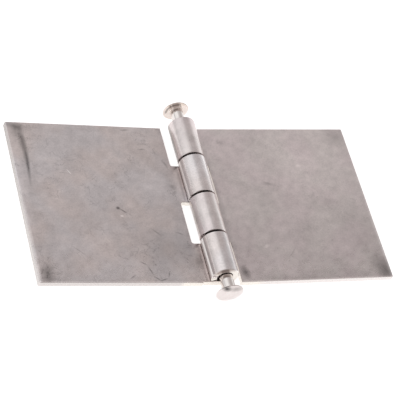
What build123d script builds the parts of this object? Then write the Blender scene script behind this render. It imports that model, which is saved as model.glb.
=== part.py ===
# Plain steel butt hinge: two rolled sheet leaves on one loose pin with a low domed head at each end.
# Units are millimetres. +X crosses the leaves, +Y runs along the pin, +Z is up.
# The origin lies on the surface that the hinge rests on, straight under the middle of the barrel.
from build123d import *

import os
from math import asin, cos, degrees, radians, sin, sqrt

# Leaves
leaf_length = 60.0  # along the pin
leaf_reach = 59.0  # barrel's axis to free edge
sheet = 2.0
free_edge_radius = 0.45  # shearing rolls over the upper edge of the free side
edge_break = 0.18  # narrow bevel that deburring leaves all round the blank
right_leaf_lift = 3.5  # degrees that the right leaf stands up from the left leaf's plane

# Barrel
knuckle_count = 4
joint_gap = 0.7  # between neighbouring knuckles
seam_gap = 0.15  # between the end of the roll and its own plate
roll_lip_radius = 0.2  # soft outer edge at the end of the roll
notch_clearance = 2.05  # other leaf's barrel to the bottom of the notch
notch_corner_radius = 0.7

# Pin
pin_diameter = 4.2
pin_clearance = 0.3  # all round a centred pin: the fit is loose
pin_rest_gap = 0.05  # what is left of it where the leaning pin comes nearest to the bore
pin_drop = 0.08  # how far the pin lies below the middle of the bore
near_bare_shank = 5.45  # shank showing at the near end, which is -Y
far_bare_shank = 5.8
near_head_diameter = 8.5
far_head_diameter = 8.6
head_rim = 0.3  # straight flank of a head
head_dome = 1.0  # height of the dome above the flank
head_edge_radius = 0.25
head_under_radius = 0.12
neck_radius = 0.3  # between the shank and the heads
head_offset = 0.2  # the heads sit a little off the shank's axis, towards the left leaf

# Derived places
pin_radius = pin_diameter / 2
bore_radius = pin_radius + pin_clearance
knuckle_radius = bore_radius + sheet
axis_height = knuckle_radius  # the barrel is flush with the underside of the leaves
notch_depth = knuckle_radius + notch_clearance
knuckle_pitch = leaf_length / knuckle_count
half_length = leaf_length / 2
half_barrel = half_length - joint_gap / 2  # each end knuckle stops half a joint short of the leaves' ends
pin_lean = sqrt((pin_clearance - pin_rest_gap) ** 2 - pin_drop**2)  # sideways, at each end of the barrel
overrun = 1.0  # how far cutting shapes run past what they cut
touching = 1e-4  # nearer than this counts as the same place


def polar(radius, angle):
    """Point of the rolled section at a radius and an angle in degrees about the barrel's axis."""
    return (radius * cos(radians(angle)), axis_height + radius * sin(radians(angle)))


def roll_section():
    """Section of the left leaf: a flat plate, then a curl under, round and over the pin, down to the plate."""
    tip_angle = 180 + degrees(asin((axis_height - sheet - seam_gap) / knuckle_radius))
    half_turn = (tip_angle - 90) / 2
    with BuildSketch() as section:
        with BuildLine():
            Line((-leaf_reach, 0), (0, 0))
            ThreePointArc((0, 0), polar(knuckle_radius, half_turn), polar(knuckle_radius, tip_angle))
            Line(polar(knuckle_radius, tip_angle), polar(bore_radius, tip_angle))
            ThreePointArc(polar(bore_radius, tip_angle), polar(bore_radius, half_turn), (0, sheet))
            Line((0, sheet), (-leaf_reach, sheet))
            Line((-leaf_reach, sheet), (-leaf_reach, 0))
        make_face()
        lip = section.vertices().sort_by_distance(polar(knuckle_radius, tip_angle))[0]
        fillet(lip, radius=roll_lip_radius)
        free_edge = section.vertices().sort_by_distance((-leaf_reach, sheet))[0]
        fillet(free_edge, radius=free_edge_radius)
    return section.sketch


def notch(index):
    """Cutter for one knuckle place of the other leaf, with its two inner corners rounded."""
    low = -half_length + index * knuckle_pitch - joint_gap / 2
    high = low + knuckle_pitch + joint_gap
    if index == 0:
        low = -half_length - overrun
    if index == knuckle_count - 1:
        high = half_length + overrun
    right = knuckle_radius + overrun
    with BuildPart() as cutter:
        with BuildSketch(Plane.XY.offset(-overrun)):
            with Locations(((right - notch_depth) / 2, (low + high) / 2)):
                Rectangle(right + notch_depth, high - low)
        extrude(amount=2 * knuckle_radius + 2 * overrun)
        corners = cutter.edges().filter_by(Axis.Z).group_by(Axis.X)[0]
        fillet(corners, radius=notch_corner_radius)
    return cutter.part


def is_blanked(edge):
    """True on the outline that blanking leaves, which is neither rolled over nor along the roll."""
    size = edge.bounding_box().size
    middle = edge.center()
    free_side = middle.X < touching - leaf_reach
    along_pin = size.X < touching and size.Z < touching
    upright = size.X < touching and size.Y < touching
    if along_pin:
        return abs(middle.X + notch_depth) < touching or (free_side and middle.Z < touching)
    return free_side or not upright


def leaf(first_place):
    """Left-hand leaf, cut away at every second knuckle place. Places past the ends trim the end knuckle."""
    with BuildPart() as body:
        with BuildSketch(Plane.XZ):
            add(roll_section())
        extrude(amount=half_length, both=True)
        for index in range(first_place, knuckle_count + 1, 2):
            add(notch(index), mode=Mode.SUBTRACT)
        chamfer(body.edges().filter_by(is_blanked), length=edge_break)
    return body.part


def right_leaf():
    """The same blank facing the other way, standing up a little about the barrel's axis."""
    barrel_axis = Axis((0, 0, axis_height), (0, -1, 0))
    return mirror(leaf(0), about=Plane.YZ).rotate(barrel_axis, right_leaf_lift)


def head(diameter):
    """Low domed head on +Z, its flat underside on the XY plane."""
    radius = diameter / 2
    top = head_rim + head_dome
    dome_radius = (radius**2 + head_dome**2) / (2 * head_dome)
    half_way = (radius / 2, top - dome_radius + sqrt(dome_radius**2 - radius**2 / 4))
    with BuildPart() as part:
        with BuildSketch(Plane.XZ) as section:
            with BuildLine():
                Polyline((0, top), (0, 0), (radius, 0), (radius, head_rim))
                ThreePointArc((radius, head_rim), half_way, (0, top))
            make_face()
            rim = section.vertices().group_by(Axis.X)[-1]
            fillet(rim.sort_by(Axis.Y)[0], radius=head_under_radius)
            rim = section.vertices().sort_by_distance((radius, head_rim))[0]
            fillet(rim, radius=head_edge_radius)
        revolve(axis=Axis.Z)
    return part.part


def is_neck(edge):
    """True on the circle where the shank meets a head."""
    return edge.geom_type == GeomType.CIRCLE and abs(edge.radius - pin_radius) < touching


def pin():
    """Round pin along +Z about the origin, with a domed head beyond a stretch of bare shank at each end."""
    near_seat = Plane(origin=(-head_offset, 0, -half_barrel - near_bare_shank), z_dir=(0, 0, -1))
    far_seat = Plane(origin=(-head_offset, 0, half_barrel + far_bare_shank))
    with BuildPart() as body:
        with BuildSketch(Plane.XY.offset(near_seat.origin.Z)):
            Circle(pin_radius)
        extrude(amount=far_seat.origin.Z - near_seat.origin.Z)
        add(near_seat * head(near_head_diameter))
        add(far_seat * head(far_head_diameter))
        fillet(body.edges().filter_by(is_neck), radius=neck_radius)
    return body.part


def resting_pin():
    """The pin as it lies in the barrel: low in the bore, its far end leaning to the left leaf."""
    middle = (0, 0, axis_height - pin_drop)
    return Plane(origin=middle, x_dir=(half_barrel, pin_lean, 0), z_dir=(-pin_lean, half_barrel, 0)) * pin()


os.makedirs("parts", exist_ok=True)
export_step(leaf(-1), "parts/left_leaf.step")
export_step(right_leaf(), "parts/right_leaf.step")
export_step(resting_pin(), "parts/hinge_pin.step")
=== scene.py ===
import math

import bmesh
import bpy
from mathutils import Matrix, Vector

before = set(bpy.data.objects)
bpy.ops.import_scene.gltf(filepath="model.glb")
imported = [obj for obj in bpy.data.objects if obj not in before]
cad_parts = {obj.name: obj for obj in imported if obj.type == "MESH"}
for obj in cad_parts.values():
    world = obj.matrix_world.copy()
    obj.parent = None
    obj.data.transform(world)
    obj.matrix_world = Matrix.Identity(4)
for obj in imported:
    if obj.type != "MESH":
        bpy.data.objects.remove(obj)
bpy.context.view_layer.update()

# Colours and nodes


def linear(hex_colour):
    """sRGB hex colour as linear RGBA."""
    channels = [int(hex_colour[i:i + 2], 16) / 255 for i in (1, 3, 5)]
    return [c / 12.92 if c <= 0.04045 else ((c + 0.055) / 1.055) ** 2.4 for c in channels] + [1.0]


def add_node(tree, kind, settings=None, **links):
    """Adds a node, sets its properties and inputs, and returns it.

    An input goes by its name, or by its number after an underscore. A tuple (node, output) is a link.
    """
    node = tree.nodes.new(kind)
    for name, value in (settings or {}).items():
        setattr(node, name, value)
    for name, value in links.items():
        socket = node.inputs[int(name[1:])] if name[1:].isdigit() else node.inputs[name.replace("_", " ")]
        if isinstance(value, tuple) and isinstance(value[0], bpy.types.Node):
            tree.links.new(value[0].outputs[value[1]], socket)
        else:
            socket.default_value = value
    return node


# Node settings that come up often
MULTIPLY = {"operation": "MULTIPLY"}
MULTIPLY_ADD = {"operation": "MULTIPLY_ADD"}
SUBTRACT = {"operation": "SUBTRACT"}
ABSOLUTE = {"operation": "ABSOLUTE"}
LARGER = {"operation": "MAXIMUM"}
REACH = {"operation": "DOT_PRODUCT"}  # how far a place lies in a direction
SOFT_STEP = {"interpolation_type": "SMOOTHSTEP"}
COLOURS = {"data_type": "RGBA"}  # a Mix of colours: factor at input 0, colours at 6 and 7, output 2
LAID_DOWN = {"vector_type": "TEXTURE"}  # the Mapping places, turns and sizes the pattern itself


def new_material(name):
    """Empty node material and its tree."""
    material = bpy.data.materials.new(name)
    material.use_nodes = True
    material.node_tree.nodes.clear()
    return material, material.node_tree


# Camera, as fitted to the photograph
CAMERA_PLACE = (-0.220377, -0.284992, 0.384198)  # metres
CAMERA_TURN = (39.1521, -20.4849, -14.3808)  # degrees
SENSOR_WIDTH = 36.0  # mm
LENS = 150.03  # mm
NEAREST_SEEN = 0.01  # metres
FARTHEST_SEEN = 20.0

camera_data = bpy.data.cameras.new("camera")
camera_data.sensor_width = SENSOR_WIDTH
camera_data.lens = LENS
camera_data.clip_start = NEAREST_SEEN
camera_data.clip_end = FARTHEST_SEEN
camera = bpy.data.objects.new("camera", camera_data)
camera.location = CAMERA_PLACE
camera.rotation_euler = [math.radians(angle) for angle in CAMERA_TURN]
bpy.context.scene.collection.objects.link(camera)
bpy.context.scene.camera = camera
bpy.context.scene.view_settings.view_transform = "Standard"

# Studio
# Its ceiling is grey, which gives flat plates of bright steel their mid grey, and its walls are white low
# down. A broad white strip crosses the ceiling from left to right, beyond the hinge, and the barrel mirrors
# it as its highlight. The left wall is dimmer, as the barrel's left flank shows. A direction has length 1.
STUDIO_WHITE = "#FFFFFF"
CEILING_GREY = "#BEB8B7"
CEILING_STARTS = (0.1, 0.45)  # height of a direction: white below the first, grey above the second
STRIP_MIDDLE = 0.545  # y of a direction
STRIP_HALF_WIDTH = (0.15, 0.4)  # white within the first, grey past the second
GREY_PATCH = Vector((0.42, 0.54, 0.73)).normalized()  # covers the strip where the plates mirror it
GREY_PATCH_RIM = 0.73  # cosine of the angle at which the patch has faded to white
DIM_WALL = Vector((-0.9, 0.45, -0.1)).normalized()
DIM_WALL_RIM = 0.8  # cosine again
DIM_WALL_LIGHT = 0.7

world = bpy.data.worlds.new("pale_studio")
world.use_nodes = True
bpy.context.scene.world = world
tree = world.node_tree
tree.nodes.clear()
ray = add_node(tree, "ShaderNodeLightPath")
towards = add_node(tree, "ShaderNodeTexCoord")
patch = add_node(tree, "ShaderNodeVectorMath", REACH, _0=(towards, "Generated"), _1=GREY_PATCH)
patch = add_node(tree, "ShaderNodeMapRange", Value=(patch, "Value"), From_Min=GREY_PATCH_RIM, From_Max=1.0)
wall = add_node(tree, "ShaderNodeVectorMath", REACH, _0=(towards, "Generated"), _1=DIM_WALL)
wall = add_node(tree, "ShaderNodeMapRange", Value=(wall, "Value"), From_Min=DIM_WALL_RIM, From_Max=1.0,
                To_Min=1.0, To_Max=DIM_WALL_LIGHT)
direction = add_node(tree, "ShaderNodeSeparateXYZ", Vector=(towards, "Generated"))
off_strip = add_node(tree, "ShaderNodeMath", SUBTRACT, _0=(direction, 1), _1=STRIP_MIDDLE)
off_strip = add_node(tree, "ShaderNodeMath", ABSOLUTE, _0=(off_strip, 0))
off_strip = add_node(tree, "ShaderNodeMapRange", SOFT_STEP, Value=(off_strip, 0),
                     From_Min=STRIP_HALF_WIDTH[0], From_Max=STRIP_HALF_WIDTH[1])
overhead = add_node(tree, "ShaderNodeMapRange", SOFT_STEP, Value=(direction, 2),
                    From_Min=CEILING_STARTS[0], From_Max=CEILING_STARTS[1])
ceiling = add_node(tree, "ShaderNodeMath", MULTIPLY, _0=(overhead, 0), _1=(off_strip, 0))
ceiling = add_node(tree, "ShaderNodeMath", LARGER, _0=(patch, 0), _1=(ceiling, 0))
tone = add_node(tree, "ShaderNodeMix", COLOURS, _0=(ceiling, 0), _6=linear(STUDIO_WHITE),
                _7=linear(CEILING_GREY))
studio = add_node(tree, "ShaderNodeBackground", Strength=(wall, 0), Color=(tone, 2))
backdrop = add_node(tree, "ShaderNodeBackground", Strength=1.0, Color=linear(STUDIO_WHITE))
both = add_node(tree, "ShaderNodeMixShader", _0=(ray, "Is Camera Ray"), _1=(studio, 0), _2=(backdrop, 0))
add_node(tree, "ShaderNodeOutputWorld", Surface=(both, 0))

# Floor: a plain white card, matt and even to the eye. It glows a little for the camera and for reflections,
# so that it shows as white, and it keeps the shadow of the hinge.
FLOOR_HALF_WIDTH = 3.0  # metres
FLOOR_DROP = 0.0001  # metres, to keep it off the hinge's underside
CARD_WHITE = "#E8E8E8"
GLOW_SEEN = 0.7  # for the camera
GLOW_MIRRORED = 0.64  # for reflections

floor_shape = bmesh.new()
bmesh.ops.create_grid(floor_shape, x_segments=1, y_segments=1, size=FLOOR_HALF_WIDTH)
floor_mesh = bpy.data.meshes.new("floor")
floor_shape.to_mesh(floor_mesh)
floor_shape.free()
floor = bpy.data.objects.new("floor", floor_mesh)
floor.location.z = -FLOOR_DROP
bpy.context.scene.collection.objects.link(floor)

card, tree = new_material("matt_white_card")
ray = add_node(tree, "ShaderNodeLightPath")
mirrored = add_node(tree, "ShaderNodeMath", LARGER, _0=(ray, "Is Glossy Ray"),
                    _1=(ray, "Is Transmission Ray"))
glow = add_node(tree, "ShaderNodeMath", MULTIPLY, _0=(ray, "Is Camera Ray"), _1=GLOW_SEEN)
glow = add_node(tree, "ShaderNodeMath", MULTIPLY_ADD, _0=(mirrored, 0), _1=GLOW_MIRRORED, _2=(glow, 0))
matt = add_node(tree, "ShaderNodeBsdfDiffuse", Color=linear(CARD_WHITE))
shine = add_node(tree, "ShaderNodeEmission", Color=linear(STUDIO_WHITE), Strength=(glow, 0))
both = add_node(tree, "ShaderNodeAddShader", _0=(matt, 0), _1=(shine, 0))
add_node(tree, "ShaderNodeOutputMaterial", Surface=(both, 0))
floor_mesh.materials.append(card)

# Finishes
# Sizes are in mm. x and z start at the barrel's axis and y at its middle, all in the leaf's own frame.
MM_PER_METRE = 1000.0
BARREL_RADIUS = 4.4  # its axis is as high above the floor
PLATE_TOP = -2.4  # upper side of a plate
LIFT = {"left": 0.0, "right": 3.5}  # degrees that each leaf stands up about the pin
ROLL_ENDS = (4.45, 4.65)  # distance from the axis: roll below the first, plate above the second

# Patterns on the sheet, in waves to the mm. Real grain and rubs are finer than the render can show, and are
# drawn as coarse as they need to show.
CLOUDS = 0.10  # 10 mm across
MOTTLING = 0.40  # 2 to 5 mm
GRAIN = 2.0  # 0.5 mm
RUBS = 0.19  # wandering in waves of 5 mm
RUB_PATCHES = 0.13  # 8 mm across
RIPPLE = 0.5  # 2 mm
TINT = 0.07  # 14 mm
SMEAR_TURN = 35.0  # degrees: the mottling is drawn out a little this way
SMEAR_STRETCH = 1.25

# How bright the sheet is, what each pattern adds at most, and what the plates add: for each mm towards the
# far end, and at mid-length. They are duller than the barrel, which rolling has polished, and carry painted
# shade that deepens towards the near end.
BARE_LEVEL = 0.50
CLOUD_SHARE = 0.32
MOTTLING_SHARE = 0.40
GRAIN_SHARE = {"left": 0.32, "right": 0.26}
PLATE_TONE_AND_SHADE = {"left": (0.0005, -0.043), "right": (0.0018, -0.020)}
NEAR_EDGE_HIGHLIGHT = (-29.3, -29.9)  # painted highlight along the near edge of a plate, for the light its broken edge catches: full past the second
NEAR_EDGE_HIGHLIGHT_SHARE = 0.3
RUB_LINE = (0.003, 0.016)  # noise off its middle: a line below the first, clean above the second
RUB_DARKNESS = {"left": 0.22, "right": 0.10}
RUB_PATCH_RIM = (0.5, 0.62)  # noise: no rubs below the first, all of them above the second
RIPPLE_SWING = 1.6  # how far the outline of a stain wanders

# The sheet wanders between a warm and a cool steel
WARM_STEEL = {"left": "#E1D8D6", "right": "#E2D8D8"}
COOL_STEEL = {"left": "#DFDADB", "right": "#E1DAD8"}
TINT_RIM = (0.4, 0.6)  # noise: warm below the first, cool above the second

# What is cut is brighter. The faces of the knuckles carry a brownish grey painted shade, deepest high on the
# left, where they mirror the floor shadowed by the pin and its heads.
CUT_FACING = (0.5, 0.9)  # how squarely a face looks along or across the leaf: sheet below, cut above
JOINTS_END = 20.0  # all the joints are nearer to mid-length than this
KNUCKLE_FACE = "#F8F3EC"
KNUCKLE_FACE_SHADE = "#B4AAA5"
KNUCKLE_SHADE_SIDE = (-0.4, 0, 0.92)
KNUCKLE_SHADE_REACH = (1.6, 3.4)  # towards that side: thin below the first, full above the second
KNUCKLE_SHADE_LEAST = 0.15
SHEARED_EDGE = {"left": "#E1DCDA", "right": "#F0EBE9"}
SHEARED_STARTS = (12.0, 14.0)  # as bright as the knuckle's face below the first

# The free edge is torn: speckled, and brighter towards the near end. A place along it, and how bright it is.
TORN_DULL = "#AFAAA8"
TORN_BRIGHT = "#DCD8D6"
TORN_FAR = (30.0, -0.35)
TORN_NEAR = (-14.0, 0.1)
TORN_GRAIN = 1.5  # what the grain adds at most

# The lip above the seam stands proud, and its near-white colour is burnished steel with a painted highlight.
# Angles are in degrees, as for the bands of painted light and shade along the roll.
LIP_STEEL_AND_HIGHLIGHT = "#FFFAF8"
LIP_MIDDLE = 0.5
LIP_HALF_WIDTH = (4.5, 9.5)  # all lip within the first, none past the second
LIP_NARROWING = 0.0014  # radians for each mm towards the far end
LIP_RISE = (10.5, -4.0)  # off its middle: the rise starts at the first and ends at the second
LIP_SHARE = (-0.07, 1.2)  # of its height: for each mm towards the far end, and at mid-length
LIP_HEIGHT = 0.00017  # metres

# Shearing has drawn the last 1.5 mm of the sheet down. A place along the edge, and how much of it shows.
DRAWN_STRIP = (57.7, 59.2)
DRAWN_FAR = (28.0, 0.1)
DRAWN_NEAR = (-14.0, 0.7)
DRAWN_DEPTH = 0.0004  # metres

# How rough the sheet is, and what is added by mottling, each mm towards the far end, the lip and the plates
BARE_ROUGHNESS = 0.19
MOTTLING_ROUGHNESS = 0.12
FAR_ROUGHNESS = 0.002
LIP_ROUGHNESS = 0.25
PLATE_ROUGHNESS = 0.08
GRAIN_BUMP = 0.08
GRAIN_HEIGHT = 0.00001  # metres

# Stains on the plates, and painted shade in two long strips beside the barrel: x, y, length, width, turn in
# degrees and darkness, negative where brighter
STAINS_AND_SHADE = {}
STAINS_AND_SHADE["left"] = [
    (-56.3, 28.4, 10.0, 3.6, -12, 0.50),
    (-55.8, -27.0, 9.0, 6.0, 82, 0.50),
    (-55.0, -28.8, 9.0, 2.6, 0, 0.18),
    (-7.7, 6.2, 3.4, 2.8, 0, 0.35),
    (-5.6, -22.2, 7.0, 3.4, 80, 0.32),
    (-8.4, 15.2, 5.0, 1.0, -70, 0.35),
    (-14.0, -18.0, 28.0, 20.0, -10, 0.22),
    (-50.0, -3.0, 16.0, 14.0, 0, -0.12),
    (-39.0, -17.0, 18.0, 16.0, 0, -0.12),
    (-16.0, 8.0, 16.0, 10.0, 0, -0.10),
    # painted shade on the plate along the barrel's flank, for its contact shadow and dark reflection
    (-7.5, -8.0, 8.0, 60.0, 0, 0.09),
]
STAINS_AND_SHADE["right"] = [
    (8.5, -26.4, 3.6, 6.0, 10, 0.60),
    (57.0, -27.0, 9.0, 14.0, 20, 0.50),
    (25.5, 7.3, 6.0, 2.0, -10, 0.28),
    (13.1, 24.1, 4.0, 3.0, 0, 0.22),
    # painted shade on the plate along the barrel's flank, for its contact shadow and dark reflection
    (6.2, 0.0, 4.0, 70.0, 0, 0.25),
    (10.0, -22.0, 14.0, 26.0, 0, 0.06),
    (41.0, 14.0, 34.0, 30.0, 0, -0.13),
    (55.5, 26.5, 12.0, 9.0, 0, 0.20),
    (55.0, -15.0, 20.0, 44.0, 0, 0.12),
    (34.0, -29.5, 60.0, 7.0, 0, 0.17),
]
# Scratches, pits and hairs, given in the same way. The long pale one follows the left free edge.
SCRATCHES = {}
SCRATCHES["left"] = [
    (-56.0, 26.3, 7.0, 4.4, 75, 0.35),
    (-54.8, 23.5, 11.0, 2.8, 84, 0.50),
    (-54.4, 18.0, 15.0, 2.4, 88, 0.60),
    (-54.6, 11.5, 14.0, 1.5, 86, 0.50),
    (-57.4, 5.0, 60.0, 3.2, 90, -0.14),
    (-41.6, 11.0, 2.8, 0.5, -57, -0.8),
    (-28.3, -2.5, 1.7, 1.5, 0, 0.9),
    (-26.7, -3.6, 3.6, 0.7, -38, 0.6),
    (-27.6, -5.5, 1.4, 1.0, 0, -0.6),
    (-44.3, -18.6, 7.0, 0.5, -42, 0.25),
    (-19.3, 28.5, 4.0, 0.9, 5, 0.40),
    (-15.2, 20.8, 3.4, 0.8, 5, 0.35),
    (-13.3, 23.1, 6.5, 0.8, 3, 0.20),
    (-24.5, -23.0, 3.4, 0.7, -30, 0.45),
    (-22.8, -25.6, 4.2, 0.7, -70, 0.55),
    (-21.2, -28.5, 3.4, 0.7, -35, 0.55),
    (-19.0, -28.9, 3.4, 0.7, 18, 0.60),
    (-17.0, -27.0, 3.4, 0.7, 68, 0.45),
    (-29.1, -28.0, 3.4, 0.7, 35, 0.40),
    (-17.6, -11.4, 4.5, 0.8, -45, 0.30),
    (-9.7, -11.8, 4.0, 0.7, -25, 0.30),
]
SCRATCHES["right"] = [
    (18.4, -16.9, 3.0, 1.4, 40, -0.25),
    (38.3, 14.5, 2.5, 2.0, 0, -0.2),
    (26.6, -19.5, 6.0, 0.6, 50, 0.2),
]
# Painted shade on the left flanks of the far and third knuckles, where they mirror the floor in shade in the
# notches: its height, half its depth, and a spot
FLANK_SHADE = {"left": []}
FLANK_SHADE["right"] = [
    (-2.4, 3.3, (-4.3, 22.0, 40.0, 5.8, 90, 0.60)),
    (-0.15, 1.05, (-4.3, 22.0, 40.0, 5.0, 90, 0.42)),
    (0.0, 2.3, (-4.3, -7.5, 18.0, 5.0, 90, 0.42)),
]
# Bands of painted light and shade along the roll: painted shade for the seam's shadow and the dark creases,
# and painted highlights where darkness is negative. Middle and half width in degrees round the barrel from
# the level of its axis on the leaf's own side, darkness, and how much of it shows on the near and the far
# knuckle
ROLL_LIGHT_BANDS = {}
ROLL_LIGHT_BANDS["left"] = [
    (-29, 10, -0.25, 1.5, 0.7),
    (-17, 8, 0.50, 0.7, 1.0),
    (15, 13, 0.24, 1.0, 1.0),
    (30, 8, 0.10, 1.0, 1.0),
    (76, 9, 0.08, 1.0, 1.0),
    (108, 16, 0.20, 1.0, -0.2),
    (131, 17, -0.55, 1.0, 1.0),
]
ROLL_LIGHT_BANDS["right"] = [
    (-17, 8, 0.50, 1.0, 1.0),
    (15, 13, 0.24, 1.0, 1.0),
    (46, 14, -0.34, 1.4, 0.2),
    (70, 16, 0.20, 1.0, -1.0),
    (101, 9, 0.08, 1.0, 1.0),
    (147, 8, 0.10, 1.0, 1.0),
]
LIGHT_BAND_LEAN = 0.00175  # radians for each mm along the barrel: they run a little askew
END_KNUCKLES = 22.5  # middle of the near and the far knuckle, either side of y = 0


def spots(tree, mm, marks, total, height=PLATE_TOP, half_depth=0.8):
    """Adds soft oval spots at a height to a total: (x, y, length, width, turn in degrees, strength)."""
    for x, y, length, width, turn, strength in marks:
        oval = add_node(tree, "ShaderNodeMapping", LAID_DOWN, Vector=mm, Location=(x, y, height),
                        Rotation=(0, 0, math.radians(turn)), Scale=(length / 2, width / 2, half_depth))
        cone = add_node(tree, "ShaderNodeTexGradient", {"gradient_type": "SPHERICAL"}, Vector=(oval, 0))
        total = (add_node(tree, "ShaderNodeMath", MULTIPLY_ADD, _0=(cone, 1), _1=strength, _2=total), 0)
    return total


def wandering_rubs(tree, side, mm, plate):
    """Hair-fine dark rubs in patches on the plates: the lines where a noise crosses its middle."""
    line = add_node(tree, "ShaderNodeTexNoise", Vector=mm, Scale=RUBS, Detail=5.0, Roughness=0.6,
                    Distortion=0.8)
    line = add_node(tree, "ShaderNodeMath", SUBTRACT, _0=(line, 0), _1=0.5)
    line = add_node(tree, "ShaderNodeMath", ABSOLUTE, _0=(line, 0))
    line = add_node(tree, "ShaderNodeMapRange", SOFT_STEP, Value=(line, 0), From_Min=RUB_LINE[0],
                    From_Max=RUB_LINE[1], To_Min=RUB_DARKNESS[side], To_Max=0.0)
    patches = add_node(tree, "ShaderNodeTexNoise", Vector=mm, Scale=RUB_PATCHES, Detail=1.0)
    patches = add_node(tree, "ShaderNodeMapRange", Value=(patches, 0), From_Min=RUB_PATCH_RIM[0],
                       From_Max=RUB_PATCH_RIM[1])
    patches = add_node(tree, "ShaderNodeMath", MULTIPLY, _0=(patches, 0), _1=plate)
    return add_node(tree, "ShaderNodeMath", MULTIPLY, _0=(line, 0), _1=(patches, 0)), 0


def paint_roll_light_bands(tree, side, around, along, rolled, level):
    """Takes bands of painted light and shade along the roll from its level: seam shadow, dark creases,
    highlights.
    """
    for middle, half_width, darkness, near_share, far_share in ROLL_LIGHT_BANDS[side]:
        light_band = add_node(tree, "ShaderNodeMath", SUBTRACT, _0=around, _1=math.radians(middle))
        light_band = add_node(tree, "ShaderNodeMath", ABSOLUTE, _0=(light_band, 0))
        light_band = add_node(tree, "ShaderNodeMapRange", SOFT_STEP, Value=(light_band, 0), From_Min=0.0,
                          From_Max=math.radians(half_width), To_Min=darkness, To_Max=0.0)
        share = add_node(tree, "ShaderNodeMapRange", Value=along, From_Min=-END_KNUCKLES,
                         From_Max=END_KNUCKLES, To_Min=near_share, To_Max=far_share)
        share = add_node(tree, "ShaderNodeMath", MULTIPLY, _0=(share, 0), _1=rolled)
        light_band = add_node(tree, "ShaderNodeMath", MULTIPLY, _0=(light_band, 0), _1=(share, 0))
        level = (add_node(tree, "ShaderNodeMath", SUBTRACT, _0=level, _1=(light_band, 0)), 0)
    return level


def cut_steel(tree, side, mm, out, along, rolled, sheared, grain):
    """Colour of what is cut: knuckle faces with their painted shade, sheared edges and the torn free edge.
    """
    # painted shade on the knuckles' faces
    tinted_shade = add_node(tree, "ShaderNodeVectorMath", REACH, _0=mm, _1=KNUCKLE_SHADE_SIDE)
    tinted_shade = add_node(tree, "ShaderNodeMapRange", SOFT_STEP, Value=(tinted_shade, "Value"),
                    From_Min=KNUCKLE_SHADE_REACH[0], From_Max=KNUCKLE_SHADE_REACH[1],
                    To_Min=KNUCKLE_SHADE_LEAST)
    tinted_shade = add_node(tree, "ShaderNodeMath", MULTIPLY, _0=(tinted_shade, 0), _1=rolled)
    outer = add_node(tree, "ShaderNodeMapRange", Value=out, From_Min=SHEARED_STARTS[0],
                     From_Max=SHEARED_STARTS[1])
    bare = add_node(tree, "ShaderNodeMix", COLOURS, _0=(outer, 0), _6=linear(KNUCKLE_FACE),
                    _7=linear(SHEARED_EDGE[side]))
    free_edge = add_node(tree, "ShaderNodeMath", MULTIPLY, _0=(outer, 0), _1=sheared)
    torn = add_node(tree, "ShaderNodeMapRange", Value=along, From_Min=TORN_FAR[0], From_Max=TORN_NEAR[0],
                    To_Min=TORN_FAR[1], To_Max=TORN_NEAR[1])
    torn = add_node(tree, "ShaderNodeMath", MULTIPLY_ADD, _0=grain, _1=TORN_GRAIN, _2=(torn, 0))
    torn = add_node(tree, "ShaderNodeMix", COLOURS, _0=(torn, 0), _6=linear(TORN_DULL),
                    _7=linear(TORN_BRIGHT))
    bare = add_node(tree, "ShaderNodeMix", COLOURS, _0=(free_edge, 0), _6=(bare, 2), _7=(torn, 2))
    return add_node(tree, "ShaderNodeMix", COLOURS, _0=(tinted_shade, 0), _6=(bare, 2), _7=linear(KNUCKLE_FACE_SHADE)), 2


def raised_lip(tree, around, along, rolled):
    """Where the bright lip above the seam shows, and how far it stands proud.

    It rises over 1.1 mm of the curl, by 0.1 mm on the second knuckle and by 0.5 mm on the fourth.
    """
    off_lip = add_node(tree, "ShaderNodeMath", SUBTRACT, _0=around, _1=math.radians(LIP_MIDDLE))
    lip = add_node(tree, "ShaderNodeMath", ABSOLUTE, _0=(off_lip, 0))
    lip = add_node(tree, "ShaderNodeMath", MULTIPLY_ADD, _0=along, _1=LIP_NARROWING, _2=(lip, 0))
    lip = add_node(tree, "ShaderNodeMapRange", SOFT_STEP, Value=(lip, 0),
                   From_Min=math.radians(LIP_HALF_WIDTH[0]), From_Max=math.radians(LIP_HALF_WIDTH[1]),
                   To_Min=1.0, To_Max=0.0)
    lip = add_node(tree, "ShaderNodeMath", MULTIPLY, _0=(lip, 0), _1=rolled)
    rise = add_node(tree, "ShaderNodeMapRange", SOFT_STEP, Value=(off_lip, 0),
                    From_Min=math.radians(LIP_RISE[0]), From_Max=math.radians(LIP_RISE[1]))
    rise = add_node(tree, "ShaderNodeMath", MULTIPLY, _0=(rise, 0), _1=(lip, 0))
    per_mm, at_middle = LIP_SHARE
    share = add_node(tree, "ShaderNodeMath", MULTIPLY_ADD, _0=along, _1=per_mm, _2=at_middle)
    raised = add_node(tree, "ShaderNodeMath", MULTIPLY, _0=(rise, 0), _1=(share, 0))
    return (lip, 0), (raised, 0)


def drawn_down_strip(tree, out, along):
    """Height of the drawn-down strip along the free edge, which falls most towards the near end."""
    strip = add_node(tree, "ShaderNodeMapRange", SOFT_STEP, Value=out, From_Min=DRAWN_STRIP[0],
                     From_Max=DRAWN_STRIP[1], To_Min=1.0, To_Max=0.0)
    share = add_node(tree, "ShaderNodeMapRange", Value=along, From_Min=DRAWN_FAR[0], From_Max=DRAWN_NEAR[0],
                     To_Min=DRAWN_FAR[1], To_Max=DRAWN_NEAR[1])
    return add_node(tree, "ShaderNodeMath", MULTIPLY, _0=(strip, 0), _1=(share, 0)), 0


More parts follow.
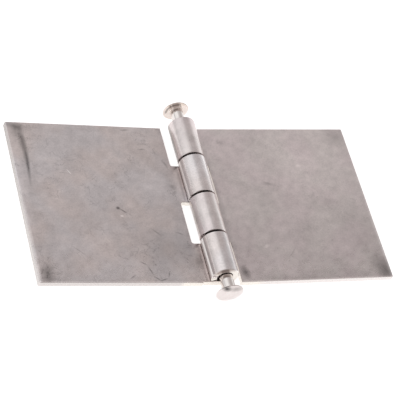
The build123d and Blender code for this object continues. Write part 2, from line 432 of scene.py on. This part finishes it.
def stainless_sheet(side):
    """Cold rolled stainless sheet with its mill finish, blanked and curled.

    To the eye it is a satin grey with soft clouds, fine grain and handling marks. It is brighter where it
    was sheared, along the free edge and on the lip of the roll.
    """
    material, tree = new_material("stainless_sheet_mill_finish_" + side)
    source = add_node(tree, "ShaderNodeTexCoord")
    mm = add_node(tree, "ShaderNodeVectorMath", {"operation": "SCALE"}, _0=(source, "Object"),
                  Scale=MM_PER_METRE)
    mm = (add_node(tree, "ShaderNodeMapping", LAID_DOWN, Vector=(mm, 0), Location=(0, 0, BARREL_RADIUS),
                   Rotation=(0, math.radians(-LIFT[side]), 0)), 0)
    place = add_node(tree, "ShaderNodeSeparateXYZ", Vector=mm)
    across, along, up = (place, 0), (place, 1), (place, 2)
    own_side = add_node(tree, "ShaderNodeMath", MULTIPLY, _0=across, _1=-1.0 if side == "left" else 1.0)
    out = (add_node(tree, "ShaderNodeMath", ABSOLUTE, _0=across), 0)
    section = add_node(tree, "ShaderNodeVectorMath", MULTIPLY, _0=mm, _1=(1, 0, 1))
    from_axis = add_node(tree, "ShaderNodeVectorMath", {"operation": "LENGTH"}, _0=(section, 0))
    plate = (add_node(tree, "ShaderNodeMapRange", SOFT_STEP, Value=(from_axis, "Value"),
                      From_Min=ROLL_ENDS[0], From_Max=ROLL_ENDS[1]), 0)
    rolled = (add_node(tree, "ShaderNodeMath", SUBTRACT, _0=1.0, _1=plate), 0)

    # clouds, smeared mottling, grain, and the plates' tone with its painted shade towards the near end
    clouds = add_node(tree, "ShaderNodeTexNoise", Vector=mm, Scale=CLOUDS, Detail=2.0, Roughness=0.6)
    smear = add_node(tree, "ShaderNodeMapping", LAID_DOWN, Vector=mm,
                     Rotation=(0, 0, math.radians(SMEAR_TURN)), Scale=(SMEAR_STRETCH, 1.0, 1.0))
    mottling = add_node(tree, "ShaderNodeTexNoise", Vector=(smear, 0), Scale=MOTTLING, Detail=3.0,
                        Roughness=0.65)
    grain = (add_node(tree, "ShaderNodeTexNoise", Vector=mm, Scale=GRAIN, Detail=2.0, Roughness=0.7), 0)
    # the plates' tone, with painted shade that deepens towards the near end
    per_mm, at_middle = PLATE_TONE_AND_SHADE[side]
    plate_tone_and_shade = add_node(tree, "ShaderNodeMath", MULTIPLY_ADD, _0=along, _1=per_mm, _2=at_middle)
    # painted highlight along the near edge of the plate
    near_edge_highlight = add_node(tree, "ShaderNodeMapRange", SOFT_STEP, Value=along, From_Min=NEAR_EDGE_HIGHLIGHT[0],
                        From_Max=NEAR_EDGE_HIGHLIGHT[1], To_Max=NEAR_EDGE_HIGHLIGHT_SHARE)
    level = BARE_LEVEL
    for pattern, share in (((clouds, 0), CLOUD_SHARE), ((mottling, 0), MOTTLING_SHARE),
                           (grain, GRAIN_SHARE[side]), (plate, (plate_tone_and_shade, 0)), (plate, (near_edge_highlight, 0))):
        level = (add_node(tree, "ShaderNodeMath", MULTIPLY_ADD, _0=pattern, _1=share, _2=level), 0)

    # rubs, stains and painted shade whose outlines a ripple breaks up, scratches, and painted shade on the
    # flanks
    ripple = add_node(tree, "ShaderNodeTexNoise", Vector=mm, Scale=RIPPLE, Detail=4.0, Roughness=0.7)
    ripple = add_node(tree, "ShaderNodeVectorMath", MULTIPLY_ADD, _0=(ripple, 1),
                      _1=(RIPPLE_SWING, RIPPLE_SWING, 0.0), _2=(-RIPPLE_SWING / 2, -RIPPLE_SWING / 2, 0.0))
    rippled = add_node(tree, "ShaderNodeVectorMath", {"operation": "ADD"}, _0=mm, _1=(ripple, 0))
    dark = wandering_rubs(tree, side, mm, plate)
    dark = spots(tree, (rippled, 0), STAINS_AND_SHADE[side], dark)
    dark = spots(tree, mm, SCRATCHES[side], dark)
    # painted shade on the knuckles' flanks
    for height, half_depth, mark in FLANK_SHADE[side]:
        dark = spots(tree, mm, [mark], dark, height, half_depth)
    undarkened = add_node(tree, "ShaderNodeMath", SUBTRACT, _0=1.0, _1=dark)
    level = (add_node(tree, "ShaderNodeMath", MULTIPLY, _0=level, _1=(undarkened, 0)), 0)

    around = add_node(tree, "ShaderNodeMath", {"operation": "ARCTAN2"}, _0=up, _1=(own_side, 0))
    around = (add_node(tree, "ShaderNodeMath", MULTIPLY_ADD, _0=along, _1=LIGHT_BAND_LEAN, _2=(around, 0)), 0)
    # painted shade and painted highlights in bands along the roll
    level = paint_roll_light_bands(tree, side, around, along, rolled, level)

    # warm and cool steel
    tint = add_node(tree, "ShaderNodeTexNoise", Vector=mm, Scale=TINT, Detail=2.0)
    tint = add_node(tree, "ShaderNodeMapRange", Value=(tint, 0), From_Min=TINT_RIM[0], From_Max=TINT_RIM[1])
    steel = add_node(tree, "ShaderNodeMix", COLOURS, _0=(tint, 0), _6=linear(WARM_STEEL[side]),
                     _7=linear(COOL_STEEL[side]))
    steel = add_node(tree, "ShaderNodeVectorMath", {"operation": "SCALE"}, _0=(steel, 2), Scale=level)

    # cut faces all round the blank, but not inside the joints, which stay dark
    facing = add_node(tree, "ShaderNodeSeparateXYZ", Vector=(source, "Normal"))
    sheared = add_node(tree, "ShaderNodeMath", ABSOLUTE, _0=(facing, 0))
    sheared = (add_node(tree, "ShaderNodeMath", MULTIPLY, _0=(sheared, 0), _1=plate), 0)
    cut = add_node(tree, "ShaderNodeMath", ABSOLUTE, _0=(facing, 1))
    cut = add_node(tree, "ShaderNodeMath", LARGER, _0=(cut, 0), _1=sheared)
    cut = add_node(tree, "ShaderNodeMapRange", SOFT_STEP, Value=(cut, 0), From_Min=CUT_FACING[0],
                   From_Max=CUT_FACING[1])
    from_middle = add_node(tree, "ShaderNodeMath", ABSOLUTE, _0=along)
    at_joints = add_node(tree, "ShaderNodeMath", {"operation": "LESS_THAN"}, _0=(from_middle, 0),
                         _1=JOINTS_END)
    hidden = add_node(tree, "ShaderNodeMath", MULTIPLY, _0=(at_joints, 0), _1=rolled)
    open_air = add_node(tree, "ShaderNodeMath", SUBTRACT, _0=1.0, _1=(hidden, 0))
    cut = add_node(tree, "ShaderNodeMath", MULTIPLY, _0=(cut, 0), _1=(open_air, 0))
    bare = cut_steel(tree, side, mm, out, along, rolled, sheared, grain)
    steel = add_node(tree, "ShaderNodeMix", COLOURS, _0=(cut, 0), _6=(steel, 0), _7=bare)

    lip, raised = raised_lip(tree, around, along, rolled)
    # near-white lip: burnished steel with a painted highlight
    steel = add_node(tree, "ShaderNodeMix", COLOURS, _0=lip, _6=(steel, 2), _7=linear(LIP_STEEL_AND_HIGHLIGHT))
    roughness = BARE_ROUGHNESS
    for cause, share in (((mottling, 0), MOTTLING_ROUGHNESS), (along, FAR_ROUGHNESS), (lip, LIP_ROUGHNESS),
                         (plate, PLATE_ROUGHNESS)):
        roughness = (add_node(tree, "ShaderNodeMath", MULTIPLY_ADD, _0=cause, _1=share, _2=roughness), 0)
    bump = add_node(tree, "ShaderNodeBump", Height=grain, Strength=GRAIN_BUMP, Distance=GRAIN_HEIGHT)
    bump = add_node(tree, "ShaderNodeBump", Height=raised, Strength=1.0, Distance=LIP_HEIGHT,
                    Normal=(bump, 0))
    bump = add_node(tree, "ShaderNodeBump", Height=drawn_down_strip(tree, out, along), Strength=1.0,
                    Distance=DRAWN_DEPTH, Normal=(bump, 0))
    metal = add_node(tree, "ShaderNodeBsdfPrincipled", Base_Color=(steel, 2), Metallic=1.0,
                     Roughness=roughness, Normal=(bump, 0))
    add_node(tree, "ShaderNodeOutputMaterial", Surface=(metal, 0))
    return material


# Patterns on the pin, in waves to the mm. Real drawn lines are closer than 0.4 mm, and are drawn as coarse
# as they need to show.
DRAWN_LINES = 2.5  # 0.4 mm apart
DRAWN_STRETCH = 25.0  # length of a line to its width
PIN_CLOUDS = 0.3  # 3 mm across
PIN_LEVEL = 0.78
DRAWN_SHARE = 0.25
PIN_CLOUD_SHARE = 0.2
PIN_ROUGHNESS = 0.12
SHANK_STEEL = "#E8E2DF"
NEAR_HEAD_STEEL = "#E6DEDC"
FAR_HEAD_STEEL = "#E9DFD9"
FAR_HEAD_FILM_AND_SHADE = "#A39B95"
NEAR_HEAD_STARTS = (-34.6, -35.0)  # along the pin: shank before the first, head past the second
FAR_HEAD_STARTS = (34.9, 35.3)
# A dark spot high on the near head, then painted shade across its top where the dome mirrors the darker
# barrel, given as the stains are
NEAR_HEAD_SPOT_AND_SHADE = [
    (-2.2, -35.8, 3.6, 3.0, 0, 0.85),
    (1.0, -35.8, 8.0, 4.0, 0, 0.50),
]
NEAR_HEAD_TOP = 2.8
NEAR_HEAD_HALF_DEPTH = 1.4
# Brown film and painted shade on the inner face of the far head, where it mirrors the shadowed corner
# between head and barrel
FILM_AND_SHADE_MIDDLE = (-0.48, 0, -0.08)  # middle of the head
FILM_AND_SHADE_SIDE = (-0.8, 0, 0.6)
FILM_AND_SHADE_REACH = (1.5, 2.5)  # towards that side: clean below the first, brown above the second
FILM_AND_SHADE_NECK = (2.6, 3.1)  # from the middle: clean below the first
FILM_AND_SHADE_RIM = (3.3, 3.9)  # and clean again above the second


def far_head_film_and_shade(tree, mm):
    """Brown film and painted shade on the far head's inner face, in a crescent high on the left between neck
    and rim.
    """
    high_left = add_node(tree, "ShaderNodeVectorMath", REACH, _0=mm, _1=FILM_AND_SHADE_SIDE)
    high_left = add_node(tree, "ShaderNodeMapRange", SOFT_STEP, Value=(high_left, "Value"),
                         From_Min=FILM_AND_SHADE_REACH[0], From_Max=FILM_AND_SHADE_REACH[1])
    radius = add_node(tree, "ShaderNodeVectorMath", MULTIPLY, _0=mm, _1=(1, 0, 1))
    radius = add_node(tree, "ShaderNodeVectorMath", {"operation": "DISTANCE"}, _0=(radius, 0),
                      _1=FILM_AND_SHADE_MIDDLE)
    inside_rim = add_node(tree, "ShaderNodeMapRange", SOFT_STEP, Value=(radius, "Value"),
                          From_Min=FILM_AND_SHADE_RIM[0], From_Max=FILM_AND_SHADE_RIM[1], To_Min=1.0, To_Max=0.0)
    outside_neck = add_node(tree, "ShaderNodeMapRange", SOFT_STEP, Value=(radius, "Value"),
                            From_Min=FILM_AND_SHADE_NECK[0], From_Max=FILM_AND_SHADE_NECK[1])
    tinted_shade = add_node(tree, "ShaderNodeMath", MULTIPLY, _0=(high_left, 0), _1=(inside_rim, 0))
    return add_node(tree, "ShaderNodeMath", MULTIPLY, _0=(tinted_shade, 0), _1=(outside_neck, 0)), 0


def stainless_rod():
    """Bright drawn stainless rod with its heads formed cold.

    To the eye it is a near-mirror silver with fine drawn lines along the shank, and with a brown film and
    painted shade on the inner face of the far head, where it mirrors the shadowed corner by the barrel.
    """
    material, tree = new_material("stainless_rod_bright_drawn")
    source = add_node(tree, "ShaderNodeTexCoord")
    mm = add_node(tree, "ShaderNodeVectorMath", {"operation": "SCALE"}, _0=(source, "Object"),
                  Scale=MM_PER_METRE)
    mm = (add_node(tree, "ShaderNodeVectorMath", SUBTRACT, _0=(mm, 0), _1=(0, 0, BARREL_RADIUS)), 0)
    along = (add_node(tree, "ShaderNodeSeparateXYZ", Vector=mm), 1)

    # drawn lines and clouds, and a dark spot and painted shade high on the near head
    drawn = add_node(tree, "ShaderNodeMapping", LAID_DOWN, Vector=mm, Scale=(1, DRAWN_STRETCH, 1))
    drawn = add_node(tree, "ShaderNodeTexNoise", Vector=(drawn, 0), Scale=DRAWN_LINES, Detail=2.0)
    clouds = add_node(tree, "ShaderNodeTexNoise", Vector=mm, Scale=PIN_CLOUDS, Detail=3.0)
    level = add_node(tree, "ShaderNodeMath", MULTIPLY_ADD, _0=(drawn, 0), _1=DRAWN_SHARE, _2=PIN_LEVEL)
    level = add_node(tree, "ShaderNodeMath", MULTIPLY_ADD, _0=(clouds, 0), _1=PIN_CLOUD_SHARE, _2=(level, 0))
    dark = spots(tree, mm, NEAR_HEAD_SPOT_AND_SHADE, 0.0, NEAR_HEAD_TOP, NEAR_HEAD_HALF_DEPTH)
    level = add_node(tree, "ShaderNodeMath", SUBTRACT, _0=(level, 0), _1=dark)

    # silver shank, pinkish near head and creamy far head
    near = add_node(tree, "ShaderNodeMapRange", Value=along, From_Min=NEAR_HEAD_STARTS[0],
                    From_Max=NEAR_HEAD_STARTS[1])
    far = add_node(tree, "ShaderNodeMapRange", Value=along, From_Min=FAR_HEAD_STARTS[0],
                   From_Max=FAR_HEAD_STARTS[1])
    steel = add_node(tree, "ShaderNodeMix", COLOURS, _0=(near, 0), _6=linear(SHANK_STEEL),
                     _7=linear(NEAR_HEAD_STEEL))
    steel = add_node(tree, "ShaderNodeMix", COLOURS, _0=(far, 0), _6=(steel, 2), _7=linear(FAR_HEAD_STEEL))
    steel = add_node(tree, "ShaderNodeVectorMath", {"operation": "SCALE"}, _0=(steel, 2), Scale=(level, 0))
    # brown film and painted shade on the far head
    tinted_shade = add_node(tree, "ShaderNodeMath", MULTIPLY, _0=far_head_film_and_shade(tree, mm), _1=(far, 0))
    steel = add_node(tree, "ShaderNodeMix", COLOURS, _0=(tinted_shade, 0), _6=(steel, 0), _7=linear(FAR_HEAD_FILM_AND_SHADE))
    metal = add_node(tree, "ShaderNodeBsdfPrincipled", Base_Color=(steel, 2), Metallic=1.0,
                     Roughness=PIN_ROUGHNESS)
    add_node(tree, "ShaderNodeOutputMaterial", Surface=(metal, 0))
    return material


finishes = {
    "left_leaf": stainless_sheet("left"),
    "right_leaf": stainless_sheet("right"),
    "hinge_pin": stainless_rod(),
}
for name, finish in finishes.items():
    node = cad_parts[name]
    node.data.materials.clear()
    node.data.materials.append(finish)
